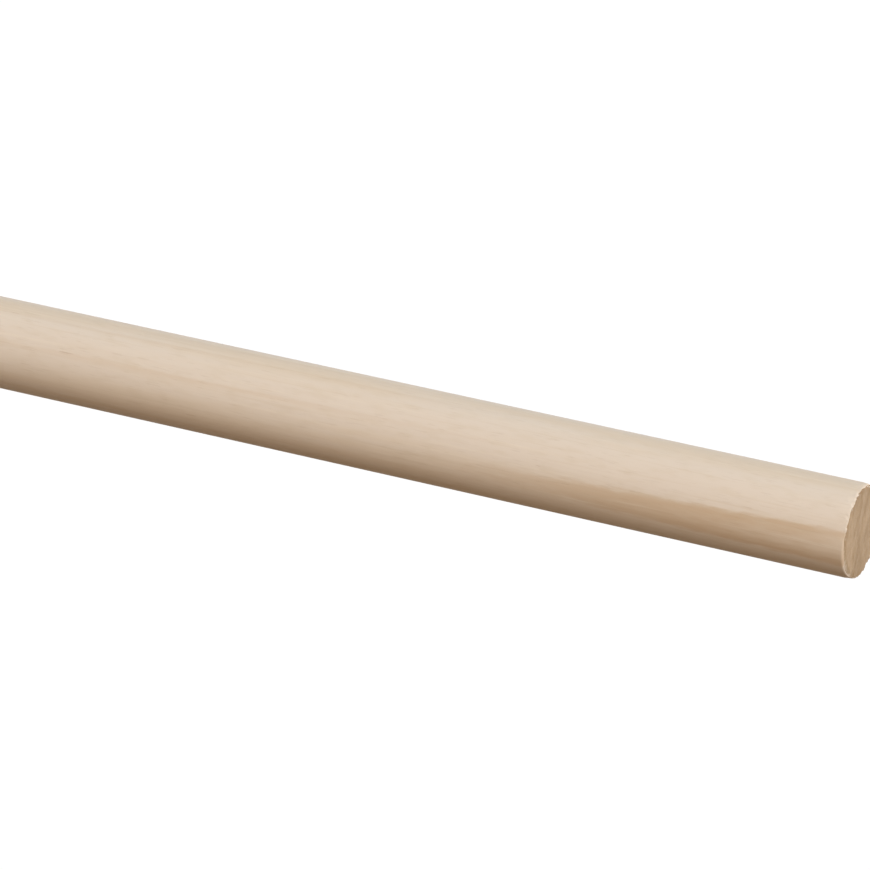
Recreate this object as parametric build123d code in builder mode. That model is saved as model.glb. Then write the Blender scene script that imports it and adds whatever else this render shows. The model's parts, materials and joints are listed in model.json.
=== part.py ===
"""A wooden dowel rod: a straight round stick, sawn square to length, with both sawn edges eased.

The rod stands on one end. Its axis is +Z, and the origin is the centre of the foot, on Z = 0.
It is one piece of wood, so it is one solid. All sizes are in millimetres.
"""

import os

from build123d import *

# Driving dimensions
ROD_DIAMETER = 16.0  # the stock size, which is also the size of the hole it is made for
ROD_LENGTH = 300.0  # the cut length, from one sawn face to the other
ARRIS_RADIUS = 0.4  # the edge of each sawn face, rubbed round with a few strokes of sandpaper

# The stick comes off the moulder with a round section, the same all along.
# The saw squares it off at both ends, and sanding rounds the two sharp rims.
with BuildPart() as dowel_rod:
    with BuildSketch(Plane.XY):
        Circle(radius=ROD_DIAMETER / 2)
    extrude(amount=ROD_LENGTH)
    sawn_rims = dowel_rod.edges().filter_by(GeomType.CIRCLE)
    fillet(sawn_rims, radius=ARRIS_RADIUS)
dowel_rod.part.label = "dowel_rod"

os.makedirs("parts", exist_ok=True)
export_step(dowel_rod.part, "parts/dowel_rod.step")
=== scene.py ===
# %% [markdown]
# # A wooden dowel rod
#
# The object is one round stick of birch, 16 mm thick and 300 mm long. It stands on one of its
# two sawn ends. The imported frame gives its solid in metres, with the rod's axis on +Z and the
# centre of its foot at the origin. This lesson keeps that size and place, and gives the rod
# what the plain solid lacks: grain that runs through the wood, saw marks, and rims that the
# saw tore a little and a file eased.

# %% Load the frame
import json
import math

import bmesh
import bpy
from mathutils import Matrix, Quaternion, Vector


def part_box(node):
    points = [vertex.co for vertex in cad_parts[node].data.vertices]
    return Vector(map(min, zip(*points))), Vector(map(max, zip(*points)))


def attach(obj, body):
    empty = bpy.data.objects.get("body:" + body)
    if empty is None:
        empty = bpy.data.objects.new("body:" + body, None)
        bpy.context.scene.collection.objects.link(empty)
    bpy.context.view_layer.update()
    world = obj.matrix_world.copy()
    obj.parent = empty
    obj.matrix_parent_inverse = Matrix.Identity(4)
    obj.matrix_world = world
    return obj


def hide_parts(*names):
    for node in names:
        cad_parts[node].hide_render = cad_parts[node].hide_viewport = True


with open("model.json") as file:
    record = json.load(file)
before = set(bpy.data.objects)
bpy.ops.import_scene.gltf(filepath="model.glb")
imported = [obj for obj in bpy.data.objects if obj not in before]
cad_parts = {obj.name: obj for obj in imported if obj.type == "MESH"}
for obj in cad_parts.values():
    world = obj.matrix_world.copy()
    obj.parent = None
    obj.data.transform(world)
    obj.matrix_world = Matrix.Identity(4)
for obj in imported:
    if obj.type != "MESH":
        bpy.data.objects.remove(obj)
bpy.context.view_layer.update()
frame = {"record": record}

# %% [markdown]
# ## Sizes
#
# Blender works in metres, and a number times `MM` is a size in millimetres. Sizes come from the
# frame where they can. The straight wall that a hole grips is a little shorter than the rod, and
# what is missing at each end is the eased edge.

# %% Sizes of the rod
MM = 0.001
foot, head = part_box("dowel_rod")
rod_length = head.z - foot.z
half_width = (head.x - foot.x) / 2
half_depth = (head.y - foot.y) / 2
shank = next(mount for mount in frame["record"]["mounts"] if mount["name"] == "shank")
arris = (rod_length - shank["dims"]["length_mm"] * MM) / 2
print(f"length {rod_length / MM:.1f} mm, diameter {2 * half_width / MM:.2f} mm")
print(f"arris {arris / MM:.2f} mm")

# %% [markdown]
# ## The camera
#
# A long lens from nearly 0.9 m away keeps the sides of the rod almost parallel. The camera looks
# down at the upper end from the front, and it is rolled over until the standing rod lies across
# the view with its upper end at the right, as a rod is laid out on a catalogue page.
# `to_track_quat` aims it, and a turn about its own line of sight gives the roll.

# %% Place the camera
AIM_BELOW_HEAD = 79.3 * MM
AIM_SIDEWAYS = -0.45 * MM
CAMERA_DISTANCE = 881.4 * MM
CAMERA_ELEVATION = math.radians(24.41)
CAMERA_ROLL = math.radians(102.4)
SENSOR_WIDTH_MM = 36
LENS_MM = 213.75

aim = Vector((AIM_SIDEWAYS, 0, head.z - AIM_BELOW_HEAD))
sight = Vector((0, math.cos(CAMERA_ELEVATION), -math.sin(CAMERA_ELEVATION)))
bpy.ops.object.select_all(action="DESELECT")
bpy.ops.object.camera_add(location=aim - sight * CAMERA_DISTANCE)
camera = bpy.context.object
camera.name = "camera"
camera.rotation_mode = "QUATERNION"
camera.rotation_quaternion = sight.to_track_quat("-Z", "Y") @ Quaternion((0, 0, 1), CAMERA_ROLL)
camera.data.sensor_width = SENSOR_WIDTH_MM
camera.data.lens = LENS_MM
bpy.context.scene.camera = camera
bpy.context.scene.view_settings.view_transform = "Standard"
print("camera at", [round(v, 3) for v in camera.location])

# %% [markdown]
# ## A helper for node trees
#
# Every material here is a small tree of shader nodes. One helper adds a node, sets its
# properties, and fills its inputs. An input is given a number, or the output socket of another
# node, which makes a link. Colours are written as sRGB hex, as a paint chart gives them, and one
# function turns them into the linear light that a renderer works in.

# %% Node and colour helpers
def add_node(tree, kind, inputs=None, **settings):
    """Adds one shader node, with its settings, and with numbers or links in its inputs."""
    node = tree.nodes.new("ShaderNode" + kind)
    for name, value in settings.items():
        setattr(node, name, value)
    for key, value in (inputs or {}).items():
        if isinstance(value, bpy.types.NodeSocket):
            tree.links.new(value, node.inputs[key])
        else:
            node.inputs[key].default_value = value
    return node


def linear(hex_colour):
    """The linear red, green, blue and alpha of an sRGB colour such as "#dcc8b0"."""
    parts = [int(hex_colour[i : i + 2], 16) / 255 for i in (1, 3, 5)]
    return (*[p / 12.92 if p <= 0.04045 else ((p + 0.055) / 1.055) ** 2.4 for p in parts], 1.0)


def empty_tree(owner):
    """Gives a material or a world an empty node tree, and returns it."""
    owner.use_nodes = True
    owner.node_tree.nodes.clear()
    return owner.node_tree


print("mid grey in linear light:", round(linear("#808080")[0], 3))

# %% [markdown]
# ## The studio
#
# The rod stands on a plain white floor in a white room. Light Path tells what kind of ray asks
# for a colour. The camera, and mirrors and glass if there were any, see pure white. The rays
# that light the rod see a much dimmer room, so that the shaded side of the rod stays dark.

# %% The white room
WHITE = (1, 1, 1, 1)
ROOM_LIGHT = 0.05


def seen_directly(tree):
    """A socket that is 1 for rays from the camera, a reflection or glass, and 0 for others."""
    path = add_node(tree, "LightPath")
    mirror = add_node(
        tree,
        "Math",
        {0: path.outputs["Is Glossy Ray"], 1: path.outputs["Is Transmission Ray"]},
        operation="MAXIMUM",
    )
    either = add_node(
        tree, "Math", {0: path.outputs["Is Camera Ray"], 1: mirror.outputs[0]}, operation="MAXIMUM"
    )
    return either.outputs[0]


room = bpy.data.worlds.new("white_room")
bpy.context.scene.world = room
tree = empty_tree(room)
dim = add_node(tree, "Background", {"Color": WHITE, "Strength": ROOM_LIGHT})
bright = add_node(tree, "Background", {"Color": WHITE, "Strength": 1})
sky = add_node(
    tree, "MixShader", {0: seen_directly(tree), 1: dim.outputs[0], 2: bright.outputs[0]}
)
add_node(tree, "OutputWorld", {"Surface": sky.outputs[0]})
print("the room lights the rod at", ROOM_LIGHT, "and looks white")

# %% [markdown]
# ## The floor
#
# The floor near the rod is a matt white card that takes the rod's shadow. A little glow, for the
# camera alone, lifts it to white where no shadow falls. Further out the card fades into pure
# glow, so its edge can't be told from the room. The card gives the lamps' light back to the rod
# only weakly, so that it doesn't wash out the shaded side.

# %% The floor
FLOOR_SIZE = 12.0
CARD_GLOW = 0.30
ROOM_GLOW = 1.02
CARD_ALBEDO = 0.7
CARD_BOUNCE = 0.12
FADE_START = 0.06
FADE_END = 0.35

bpy.ops.object.select_all(action="DESELECT")
bpy.ops.mesh.primitive_plane_add(size=FLOOR_SIZE, location=(0, 0, foot.z))
floor = bpy.context.object
floor.name = "floor"
bpy.ops.object.transform_apply(location=True, rotation=True, scale=True)

# Matt white card scatters light evenly: it takes soft shadows, and nothing is mirrored in it.
card = bpy.data.materials.new("white_card_matt")
tree = empty_tree(card)
place = add_node(tree, "TexCoord")
reach = add_node(tree, "VectorMath", {0: place.outputs["Object"]}, operation="LENGTH")
far = add_node(
    tree,
    "MapRange",
    {"Value": reach.outputs["Value"], "From Min": FADE_START, "From Max": FADE_END},
    interpolation_type="SMOOTHSTEP",
)
seen = seen_directly(tree)
albedo = add_node(
    tree, "MapRange", {"Value": seen, "To Min": CARD_BOUNCE, "To Max": CARD_ALBEDO}
)
near = add_node(tree, "Math", {0: 1.0, 1: far.outputs[0]}, operation="SUBTRACT")
tone = add_node(tree, "Math", {0: albedo.outputs[0], 1: near.outputs[0]}, operation="MULTIPLY")
matt = add_node(tree, "BsdfDiffuse", {"Color": tone.outputs[0]})
lift = add_node(
    tree, "MapRange", {"Value": far.outputs[0], "To Min": CARD_GLOW, "To Max": ROOM_GLOW}
)
shown = add_node(tree, "Math", {0: lift.outputs[0], 1: seen}, operation="MULTIPLY")
glow = add_node(tree, "Emission", {"Color": WHITE, "Strength": shown.outputs[0]})
both = add_node(tree, "AddShader", {0: matt.outputs[0], 1: glow.outputs[0]})
add_node(tree, "OutputMaterial", {"Surface": both.outputs[0]})
floor.data.materials.append(card)
print("floor", FLOOR_SIZE, "m square")

# %% [markdown]
# ## The lamps
#
# A large soft box gives a soft edge of shadow. The key box stands to the left of the camera and
# makes the broad light on that side. To the right there is only a weak fill, as warm as light
# that comes back from a wooden bench, so the rod turns slowly into shade. Two more boxes stand
# behind the rod. They draw a thin light along its edges and keep its back from going black. All
# four are much further away than the rod is long, so both of its ends get the same light.
#
# A lamp's power is worked out from the light it has to give. A surface that faces a lamp of
# power P at distance d gets P / (pi * d * d), and with pi units of light a matt surface shows at
# just the brightness of its own colour.

# %% The lamps
LAMP_DISTANCE = 3.2
LAMP_HEIGHT = 30
BOX_SIZE = 2.0
LAMP_TARGET = Vector((0, 0, 0.6 * rod_length))


def soft_box(name, turn, light, colour):
    """A square lamp, turned so many degrees to the right of the camera."""
    turn = math.radians(turn)
    rise = math.tan(math.radians(LAMP_HEIGHT))
    out = Vector((math.sin(turn), -math.cos(turn), rise)).normalized()
    place = LAMP_TARGET + out * LAMP_DISTANCE
    bpy.ops.object.light_add(type="AREA", location=place)
    lamp = bpy.context.object
    lamp.name = name
    lamp.rotation_euler = (-out).to_track_quat("-Z", "Y").to_euler()
    lamp.data.size = BOX_SIZE
    lamp.data.energy = light * math.pi * math.pi * LAMP_DISTANCE**2
    lamp.data.color = colour
    lamp.visible_camera = False


soft_box("key_box", -34.7, 1.02, (0.96, 1.02, 1.02))
soft_box("warm_fill", 20.5, 0.205, (1.50, 0.99, 0.51))
soft_box("back_box", -146, 0.258, (1.11, 0.95, 0.94))
soft_box("rear_box", 180, 0.75, (1.0, 1.0, 1.0))
print("4 soft boxes at", LAMP_DISTANCE, "m and", LAMP_HEIGHT, "degrees up")

# %% [markdown]
# ## The rod
#
# A moulder turns out a round stick in one pass, and a saw cuts it to length. The mesh starts the
# same way, as a cylinder in 384 facets, each 0.13 mm wide, because the small tears at its rims
# are only a few facets wide. The rims are then beveled to the radius that sandpaper leaves. An
# outline spun round the axis would give the same shape, but it would need its seam closed.

# %% Start the rod
FACETS = 384
ARRIS_STEPS = 5
SAME_HEIGHT = 0.001 * MM  # heights closer than this are one height, as sums are never quite exact

bpy.ops.object.select_all(action="DESELECT")
bpy.ops.mesh.primitive_cylinder_add(
    vertices=FACETS,
    radius=half_width,
    depth=rod_length,
    end_fill_type="NGON",
    location=(0, 0, rod_length / 2),
)
rod = bpy.context.object
rod.name = "birch_rod"
bpy.ops.object.transform_apply(location=True, rotation=True, scale=True)


def select(kind, test):
    """In edit mode, selects just those edges or faces of the rod that pass the test."""
    bpy.ops.mesh.select_mode(type=kind)
    bpy.ops.mesh.select_all(action="DESELECT")
    shape = bmesh.from_edit_mesh(rod.data)
    parts = shape.edges if kind == "EDGE" else shape.faces
    for part in parts:
        if test(part):
            part.select_set(True)
    shape.select_flush_mode()
    bmesh.update_edit_mesh(rod.data)
    return sum(part.select for part in parts)


def on_a_rim(edge):
    """Whether both ends of an edge lie in the plane of the same sawn face."""
    heights = [vertex.co.z for vertex in edge.verts]
    return any(all(abs(z - end) < SAME_HEIGHT for z in heights) for end in (foot.z, head.z))


bpy.ops.object.mode_set(mode="EDIT")
count = select("EDGE", on_a_rim)
print("rim edges:", count)
bpy.ops.mesh.bevel(offset=arris, segments=ARRIS_STEPS, profile=0.5, affect="EDGES")
bpy.ops.mesh.select_all(action="SELECT")
bpy.ops.transform.resize(value=(1, half_depth / half_width, 1))

# %% [markdown]
# ## Rings along the rod
#
# Facets 300 mm long can't be shaped, so the wall is cut across. The cuts crowd together at the
# ends, where the saw tore the fibres, and are 5 mm apart in between. `bisect` cuts the whole
# mesh with a plane, and `subdivide` divides the edges that run along the rod.

# %% Cut the wall across
END_CUTS_MM = [0.12, 0.24, 0.36, 0.48, 0.6, 0.72, 0.84, 1.0, 1.2, 1.5, 1.9, 2.6]
LONG_CUTS = 58

for depth in END_CUTS_MM:
    for height in (foot.z + arris + depth * MM, head.z - arris - depth * MM):
        bpy.ops.mesh.select_all(action="SELECT")
        bpy.ops.mesh.bisect(plane_co=(0, 0, height), plane_no=(0, 0, 1))
count = select("EDGE", lambda edge: edge.calc_length() > 0.5 * rod_length)
bpy.ops.mesh.subdivide(number_cuts=LONG_CUTS)
print("long edges:", count)

# %% [markdown]
# ## The sawn faces
#
# Each end is still one flat face with 384 corners. A few narrow insets keep rings of small faces
# round the rim. The rest is taken out and filled with a grid, whose squares are all about
# 0.15 mm wide, so that the face can carry saw marks. A fan of triangles is easier to make, but
# each one runs from the middle to the rim, and can't carry a mark on the way.

# %% Divide the sawn faces
RIM_INSETS = [0.12 * MM, 0.14 * MM, 0.16 * MM, 0.18 * MM]

select("FACE", lambda face: len(face.verts) > 4)
for width in RIM_INSETS:
    bpy.ops.mesh.inset(thickness=width)
bpy.ops.mesh.delete(type="ONLY_FACE")
for height in (foot.z, head.z):
    select(
        "EDGE", lambda edge: edge.is_boundary and abs(edge.verts[0].co.z - height) < SAME_HEIGHT
    )
    bpy.ops.mesh.fill_grid(span=FACETS // 4, offset=0)
bpy.ops.mesh.select_all(action="SELECT")
bpy.ops.mesh.normals_make_consistent(inside=False)
bpy.ops.object.mode_set(mode="OBJECT")
bpy.ops.object.shade_smooth()
print("faces:", len(rod.data.polygons))

# %% [markdown]
# ## A map of the surface
#
# The materials below don't need a map, but a game or a web page does, because it gets the wood's
# colours on one flat sheet. Wood changes quickly across the grain and slowly along it, so the
# round side is unrolled over the whole width of the map, and its length is squeezed. The eased
# rims get more than their share, or they would be thinner than a dot. The two sawn faces lie
# side by side below. An automatic unwrap would cut the side into pieces, and the grain would
# break where they meet, so the place of every corner is worked out here instead.

# %% Unroll the rod onto a map
MAP_MARGIN = 0.01
SIDE_BOTTOM = 0.2
RIM_SHARE = 8
DISC_RADIUS = 0.085
DISC_CENTRES = {foot.z: (0.1, 0.1), head.z: (0.3, 0.1)}

rim_length = RIM_SHARE * arris * math.pi / 2
profile_length = rod_length - 2 * arris + 2 * rim_length


def along_profile(z):
    """How far up the outline of the rod a height is, from 0 at the foot to 1 at the head."""
    if z > rod_length / 2:
        return 1 - along_profile(rod_length - z)
    if z > arris:
        return (rim_length + z - arris) / profile_length
    return RIM_SHARE * arris * math.acos(max(0.0, min(1.0, 1 - z / arris))) / profile_length


flat_map = rod.data.uv_layers.new(name="OFBake")
for face in rod.data.polygons:
    heights = [rod.data.vertices[i].co.z for i in face.vertices]
    end = next((z for z in DISC_CENTRES if all(abs(h - z) < SAME_HEIGHT for h in heights)), None)
    middle = math.atan2(face.center.x, -face.center.y)
    for corner, i in zip(face.loop_indices, face.vertices):
        x, y, z = rod.data.vertices[i].co
        if end is None:
            turn = math.atan2(x, -y)
            turn += math.tau * round((middle - turn) / math.tau)
            across = MAP_MARGIN + (1 - 2 * MAP_MARGIN) * (turn / math.tau + 0.5)
            up = SIDE_BOTTOM + (1 - MAP_MARGIN - SIDE_BOTTOM) * along_profile(z)
        else:
            outward = 1 if end == head.z else -1
            across = DISC_CENTRES[end][0] + DISC_RADIUS * outward * x / half_width
            up = DISC_CENTRES[end][1] + DISC_RADIUS * y / half_width
        flat_map.data[corner].uv = (across, up)
print("corners on the map:", len(flat_map.data))

# %% [markdown]
# ## What the saw and the file did to the ends
#
# A saw tears the end grain into shallow grooves and pulls small chips out of the rim, where the
# fibres have nothing behind them. A hand saw also drifts, so the head is nearly two degrees off
# square and falls away to the back left. A few strokes with a file then ease the rim at the front
# right, and take the torn fibres off there. The foot is cut and filed in the same way, but square.
#
# A bump in the material could fake all this, but it leaves the outline of the rim a clean circle.
# So these are real forms, and Displace modifiers press them into the mesh. Every push goes
# inwards, and the rod stays inside its box. How far a push goes fades with the distance from the
# rim, so that it leaves a slope there and no step. The functions here measure that distance.

# %% Where the tools touched
FILE_TURN = 46
FILE_SPREAD = 38


def from_wall(place):
    """How deep a place lies under the round side."""
    return half_width - math.hypot(place.x, place.y)


def from_end(place):
    """How far a place is from the nearer end."""
    return min(place.z - foot.z, head.z - place.z)


def near_rim(place, across, down):
    """1 on the sharp corner of the rim, fading to 0 so far across the face and down the side."""
    return max(0.0, 1 - math.hypot(from_wall(place) / across, from_end(place) / down))


def filed(place):
    """How much the file went over a place, which it did most at the front right."""
    off = math.degrees(math.atan2(place.x, -place.y)) - FILE_TURN
    return max(0.0, 1 - (off / FILE_SPREAD) ** 2)


def still_torn(place):
    """How much of the torn fibres is left at a place after the file."""
    return (1 - filed(place)) ** 2


print("the file covers", 2 * FILE_SPREAD, "degrees of the rim")

# %% [markdown]
# ## Weights for the vertices
#
# A vertex group holds a weight for each vertex, and a modifier pushes a vertex as far as its
# weight says. One function fills a group by asking for the weight of every place.

# %% Weigh the vertices at the ends
ON_THE_FACE = 0.02 * MM
CHIP_REACH = 1.5 * MM
FRAY_REACH = 0.8 * MM
FILED_ACROSS = 0.95 * MM
FILED_DOWN = 1.6 * MM
SLANT_REACH = 12 * MM
SLANT_WAY = Vector((-1, 1)).normalized()


def weigh(name, weight):
    """Makes a vertex group from a function that gives the weight of a place."""
    group = rod.vertex_groups.new(name=name)
    count = 0
    for vertex in rod.data.vertices:
        value = weight(vertex.co)
        if value > 0:
            group.add([vertex.index], min(value, 1.0), "REPLACE")
            count += 1
    print(name, count, "vertices")


def slanted(place):
    """How much of the slanted cut reaches a place: most at the head, at the back left."""
    from_head = (head.z - place.z) / SLANT_REACH
    return (1 - from_head) * (1 + place.xy.dot(SLANT_WAY) / half_width) / 2


weigh("sawn_faces", lambda place: 1.0 if from_end(place) < ON_THE_FACE else 0.0)
weigh("rim_chipped", lambda place: still_torn(place) * near_rim(place, CHIP_REACH, CHIP_REACH))
weigh("rim_frayed", lambda place: still_torn(place) * near_rim(place, FRAY_REACH, FRAY_REACH))
for name, end in (("foot_filed", foot), ("head_filed", head)):
    weigh(
        name,
        lambda place: (abs(place.z - end.z) < rod_length / 2)
        * filed(place)
        * near_rim(place, FILED_ACROSS, FILED_DOWN),
    )
weigh("head_slant", slanted)

# %% [markdown]
# ## Press the tool marks in
#
# Most pushes read a cloudy texture through an empty, whose scale sets the size of the pattern.
# The face first gets an uneven cut, then the grooves of the saw, then the torn fibres. The file
# comes next. Its push goes straight down at the head and up at the foot, because so deep a push
# along the normals can fold the small round edge over itself. Chips and frays are pressed in
# after it, and the slant of the whole cut comes last.

# %% Press in grooves, chips and the filed edge
def press_in(name, group, depth, size=None, turn=0.0, contrast=1.0, level=1.0, way="NORMAL"):
    """Pushes a vertex group in, everywhere or by a cloudy texture of this size in millimetres.

    With the way "Z" it moves down instead, or up if the depth is negative.
    """
    push = rod.modifiers.new(name, "DISPLACE")
    push.vertex_group = group
    push.direction = way
    push.mid_level = 0.0
    push.strength = -depth
    handle = None
    if size:
        texture = bpy.data.textures.new(name, "CLOUDS")
        texture.noise_scale = 1.0
        texture.noise_depth = 2
        texture.contrast = contrast
        texture.intensity = level
        texture.use_clamp = True
        bpy.ops.object.select_all(action="DESELECT")
        bpy.ops.object.empty_add(rotation=(0, 0, turn))
        handle = bpy.context.object
        handle.scale = [width * MM for width in size]
        bpy.context.view_layer.update()
        push.texture = texture
        push.texture_coords = "OBJECT"
        push.texture_coords_object = handle
    bpy.context.view_layer.objects.active = rod
    bpy.ops.object.modifier_apply(modifier=name)
    if handle:
        bpy.data.objects.remove(handle)
    print(name, "pressed in by up to", round(abs(depth) / MM, 2), "mm")


SAW_TURN = math.radians(8)
FILED_DEPTH = 0.38 * MM
SLANT_DEPTH = 0.5 * MM

press_in("uneven_cut", "sawn_faces", 0.08 * MM, (4, 1.9, 4), contrast=1.8)
press_in("saw_grooves", "sawn_faces", 0.02 * MM, (5, 1.2, 5), SAW_TURN, contrast=1.6)
press_in("torn_fibres", "sawn_faces", 0.02 * MM, (1.2, 0.7, 0.5), contrast=1.6)
press_in("file_on_foot", "foot_filed", -FILED_DEPTH, way="Z")
press_in("file_on_head", "head_filed", FILED_DEPTH, way="Z")
press_in("chips", "rim_chipped", 0.22 * MM, (2.2, 2.2, 2.4), contrast=3.0, level=0.7)
press_in("frayed_rim", "rim_frayed", 0.24 * MM, (0.6, 0.6, 0.8), contrast=3.0, level=0.7)
press_in("slant", "head_slant", SLANT_DEPTH, way="Z")

# %% [markdown]
# ## The wood
#
# Birch is a pale wood with faint growth rings and fine pores. The rod is cut from a plank, so the
# middle of the tree lies well outside it, and the rings cross the rod as wide arcs. The colour is
# painted in depth: the nodes ask where in the tree each point lies, so the side and the sawn ends
# show the same rings. A grain pattern wrapped round the side would be simpler, but it wouldn't
# meet the rings on the ends. The rod's axis leans a little on the tree's, and that draws the long
# pointed arches which a turned or moulded rod shows on its side. The nodes measure a place in
# millimetres.

# %% Helpers for patterns in the wood
# Birch, moulded round, sanded and left bare: pale and matt, with fine lines along the grain.
birch = bpy.data.materials.new("birch_moulded_sanded_unfinished")
tree = empty_tree(birch)
place = add_node(tree, "TexCoord")
scale_up = add_node(tree, "Mapping", {"Vector": place.outputs["Object"], "Scale": (1 / MM,) * 3})
spot = scale_up.outputs[0]
height = add_node(tree, "SeparateXYZ", {0: spot}).outputs["Z"]


def calculate(operation, first, second=0.0):
    """The result of one sum, as a socket."""
    return add_node(tree, "Math", {0: first, 1: second}, operation=operation).outputs[0]


def ramp(value, low, high, to_low=0.0, to_high=1.0):
    """Stretches a value softly from one span onto another."""
    return add_node(
        tree,
        "MapRange",
        {"Value": value, "From Min": low, "From Max": high, "To Min": to_low, "To Max": to_high},
        interpolation_type="SMOOTHSTEP",
    ).outputs[0]


def cloud(size, seed, detail=2.0):
    """A noise around 0.5, with patches so many millimetres in size along X, Y and Z."""
    stretched = add_node(
        tree,
        "Mapping",
        {"Vector": spot, "Location": (seed, 3 * seed, 0), "Scale": tuple(1 / v for v in size)},
    )
    noise = add_node(
        tree, "TexNoise", {"Vector": stretched.outputs[0], "Scale": 1.0, "Detail": detail}
    )
    return noise.outputs[0]


def blend(share, first, second):
    """The first colour, with a share of the second one mixed in."""
    # A Mix node takes its two colours in inputs 6 and 7, and gives the mixed one in output 2.
    return add_node(
        tree,
        "Mix",
        {"Factor": share, 6: first, 7: second},
        data_type="RGBA",
    ).outputs[2]


# %% [markdown]
# ## Growth rings
#
# A ring's distance from the pith, divided by the width of a year, counts the years. The whole
# part names the year and the rest tells the season. Wood darkens slowly from spring to autumn
# and turns pale again faster, so a ring has a long soft side and a shorter one.
#
# A trunk bows and gets thinner as it rises, so the distance also changes with the square of the
# height, as on a circle 54 m across. Where a ring only just comes out at the side of the rod,
# that draws a long pointed V. Slow and quick noises make the rings sway and fray, and one more
# makes some years wider than others. Each year has a random strength. Squaring it leaves most
# years faint and a few of them strong, and a slow drift lets every line come and go along the rod.

# %% The years and the seasons
YEAR_WIDTH = 1.5
PITH_DISTANCE = 34
PITH_TURN = math.radians(61.5)
BOW_FOOT = -60
BOW_DIAMETER = 54000
FIRST_YEAR = 0.74
SWAY_MM = 0.2
FRAY_MM = 0.65
UNEVEN_YEARS = 0.8
FORTUNE_LENGTH = 2.5
DRIFT_LENGTH = 90
WIDTH_SEED = 1666.5
LUCK_SEED = 34331
DRIFT_SEED = 47153
DRIFT_STEP = 7.3


def swing(noise, width):
    """Turns a noise around 0.5 into one that swings around 0, over this width."""
    return calculate("MULTIPLY", calculate("SUBTRACT", noise, 0.5), width)


def slow_noise(x, y):
    """A smooth noise read at one place of a flat sheet."""
    sheet = add_node(tree, "CombineXYZ", {"X": x, "Y": y, "Z": 0.5})
    noise = add_node(tree, "TexNoise", {"Vector": sheet.outputs[0], "Scale": 1.0, "Detail": 0.0})
    return noise.outputs[0]


turned = add_node(tree, "Mapping", {"Vector": spot, "Rotation": (0, 0, PITH_TURN)})
above_foot = calculate("SUBTRACT", height, BOW_FOOT)
bow = calculate("DIVIDE", calculate("POWER", above_foot, 2), BOW_DIAMETER)
to_pith = add_node(
    tree, "CombineXYZ", {"X": calculate("SUBTRACT", PITH_DISTANCE, bow), "Y": 0.0, "Z": height}
)
from_pith = add_node(
    tree, "VectorMath", {0: turned.outputs[0], 1: to_pith.outputs[0]}, operation="DISTANCE"
)
sway = swing(cloud((14, 14, 90), 1), SWAY_MM)
frayed = swing(cloud((0.8, 0.8, 4), 2, 3), FRAY_MM)
grown = calculate("ADD", from_pith.outputs["Value"], calculate("ADD", sway, frayed))
fortune = slow_noise(calculate("DIVIDE", grown, FORTUNE_LENGTH), WIDTH_SEED)
uneven = swing(fortune, UNEVEN_YEARS)
even_years = calculate("ADD", calculate("DIVIDE", grown, YEAR_WIDTH), FIRST_YEAR)
years = calculate("ADD", even_years, uneven)
within_year = calculate("FRACT", years)
darkening = ramp(within_year, 0.1, 0.7)
paling = ramp(within_year, 0.7, 1.0, 1.0, 0.0)
season = calculate("MULTIPLY", darkening, paling)
age = calculate("FLOOR", years)
luck_number = calculate("ADD", age, LUCK_SEED)
luck = add_node(tree, "TexWhiteNoise", {"W": luck_number}, noise_dimensions="1D")
own_line = calculate("ADD", calculate("MULTIPLY", age, DRIFT_STEP), DRIFT_SEED)
drift = slow_noise(own_line, calculate("DIVIDE", height, DRIFT_LENGTH))
fair = calculate("MULTIPLY", luck.outputs["Value"], ramp(drift, 0.3, 0.7, 0.2, 1.0))
strength = calculate("POWER", fair, 2)
late_wood = calculate("MULTIPLY", season, strength)
print("a year is", YEAR_WIDTH, "mm wide")

# %% [markdown]
# ## The side of the rod
#
# Along the grain, bundles of fibres show as streaks half a millimetre wide and some centimetres
# long, some paler and some duller than the rest. A soft mottle a few millimetres long lies over
# them. The pores are cut open lengthwise into fine dark dashes, and a few short brown flecks are
# old scars of the growing wood. Real pores are a tenth of a millimetre wide, and here they are
# twice that, or they would be too fine to show. Wide faint patches are a little more pink or
# yellow.

# %% Colours along the grain
SPRING_WOOD = linear("#dfcfbf")
AUTUMN_WOOD = linear("#cfb59a")
PALE_FIBRE = linear("#e6d8c9")
DULL_FIBRE = linear("#d6c4b0")
PINK_PATCH = linear("#e1d4cb")
YELLOW_PATCH = linear("#decbb8")
OPEN_PORE = linear("#a98a69")
SCAR = linear("#a27c58")
PATCH_SEED = 1320

fibres = cloud((0.5, 0.5, 30), 3, 3)
patches = cloud((5, 5, 70), PATCH_SEED)
pores = ramp(cloud((0.22, 0.22, 3.4), 5, 1), 0.62, 0.72)
mottle = cloud((1.1, 1.1, 4.5), 10)
scars = ramp(cloud((0.45, 0.45, 6), 6, 1), 0.77, 0.80)

side = blend(ramp(patches, 0.35, 0.65), YELLOW_PATCH, PINK_PATCH)
side = blend(0.5, side, SPRING_WOOD)
side = blend(late_wood, side, AUTUMN_WOOD)
side = blend(ramp(fibres, 0.55, 0.8, 0, 0.5), side, PALE_FIBRE)
side = blend(ramp(fibres, 0.45, 0.2, 0, 0.5), side, DULL_FIBRE)
side = blend(ramp(mottle, 0.45, 0.75, 0, 0.3), side, DULL_FIBRE)
side = blend(calculate("MULTIPLY", pores, 0.10), side, OPEN_PORE)
side = blend(calculate("MULTIPLY", scars, 0.2), side, SCAR)

# %% [markdown]
# ## The sawn ends
#
# End grain drinks in light between its cut fibres, so it looks darker and browner than the side.
# The pores are round holes here, the rings are faint arcs, and the saw left smudges a few
# millimetres wide. Which of the two looks a point has depends on how far its surface is turned
# to the end, so a filed slope has some of both and looks paler than the sawn face.

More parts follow.
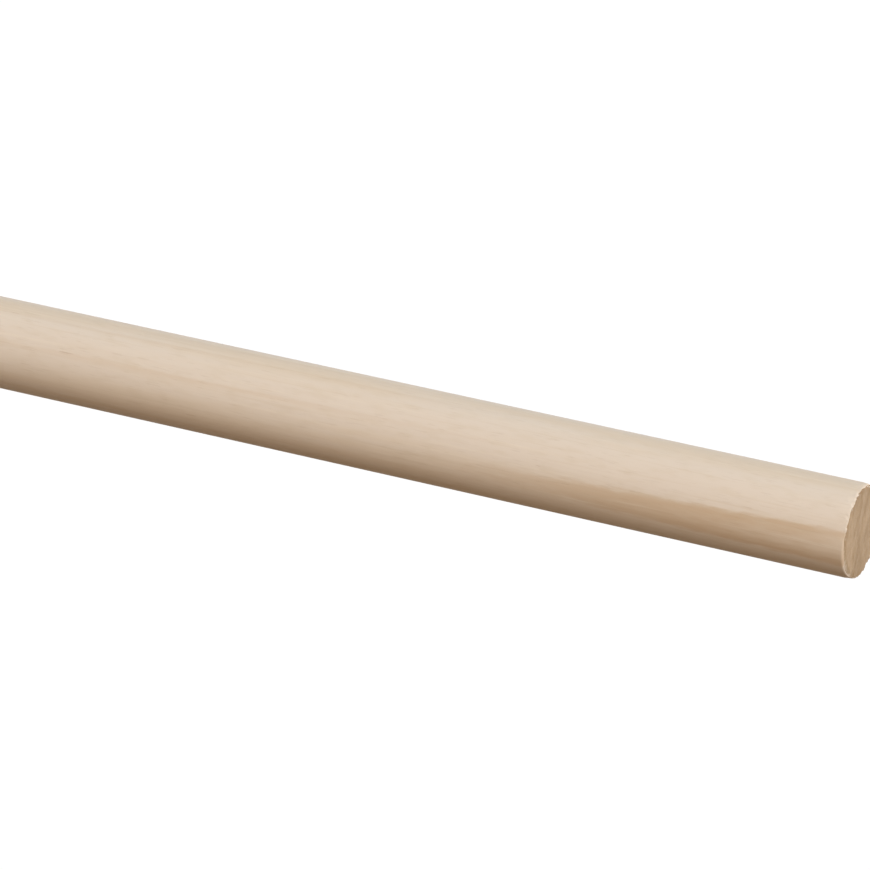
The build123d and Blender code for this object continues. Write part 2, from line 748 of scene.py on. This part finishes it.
# %% Colours across the grain
END_PALE = linear("#a38867")
END_DARK = linear("#8a6f4b")
END_AUTUMN = linear("#886b45")
PORE_HOLE = linear("#7d6044")
SMUDGE_SEED = 8430
TORN_SHARE = 0.08

smudges = cloud((3.5, 2.5, 8), SMUDGE_SEED)
holes = ramp(cloud((0.22, 0.22, 5), 7, 1), 0.5, 0.68)

end = blend(ramp(smudges, 0.25, 0.75), END_DARK, END_PALE)
end = blend(calculate("MULTIPLY", season, 0.2), end, END_AUTUMN)
end = blend(calculate("MULTIPLY", holes, 0.2), end, PORE_HOLE)

surface = add_node(tree, "NewGeometry")
upright = add_node(tree, "SeparateXYZ", {0: surface.outputs["Normal"]})
torn = swing(cloud((0.5, 0.5, 0.9), 9), TORN_SHARE)
tilt = calculate("ADD", calculate("ABSOLUTE", upright.outputs["Z"]), torn)
endwise = ramp(tilt, 0.86, 0.99)
colour = blend(endwise, side, end)

# %% [markdown]
# ## The surface
#
# Sanded birch with nothing on it is matt: light goes in among the fibres and comes out in all
# directions, and there is hardly any sheen. Wood fibre has an IOR of about 1.53, and its open,
# torn surface takes most of the mirror light away, so the specular level is low. The fine relief
# of fibres and pores is far below a tenth of a millimetre, so it is a bump and no geometry.

# %% Relief and shader
FINE_RELIEF = 0.02 * MM
WOOD_IOR = 1.53
LITTLE_SHEEN = 0.12
OPEN_FIBRES = 0.4

side_relief = calculate("SUBTRACT", fibres, calculate("MULTIPLY", pores, 0.6))
end_relief = calculate("SUBTRACT", calculate("MULTIPLY", smudges, 0.5), holes)
# Set to plain numbers, a Mix node takes them in inputs 2 and 3, and gives the mix in output 0.
relief = add_node(
    tree, "Mix", {"Factor": endwise, 2: side_relief, 3: end_relief}, data_type="FLOAT"
)
bump = add_node(tree, "Bump", {"Distance": FINE_RELIEF, "Height": relief.outputs[0]})
wood = add_node(
    tree,
    "BsdfPrincipled",
    {
        "Base Color": colour,
        "Roughness": ramp(fibres, 0.3, 0.7, 0.62, 0.74),
        "IOR": WOOD_IOR,
        "Specular IOR Level": LITTLE_SHEEN,
        "Diffuse Roughness": OPEN_FIBRES,
        "Normal": bump.outputs[0],
    },
)
add_node(tree, "OutputMaterial", {"Surface": wood.outputs[0]})
rod.data.materials.append(birch)
print("nodes in the wood:", len(tree.nodes))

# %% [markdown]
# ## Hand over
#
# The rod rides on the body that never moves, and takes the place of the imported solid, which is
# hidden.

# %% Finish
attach(rod, "root")
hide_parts("dowel_rod")
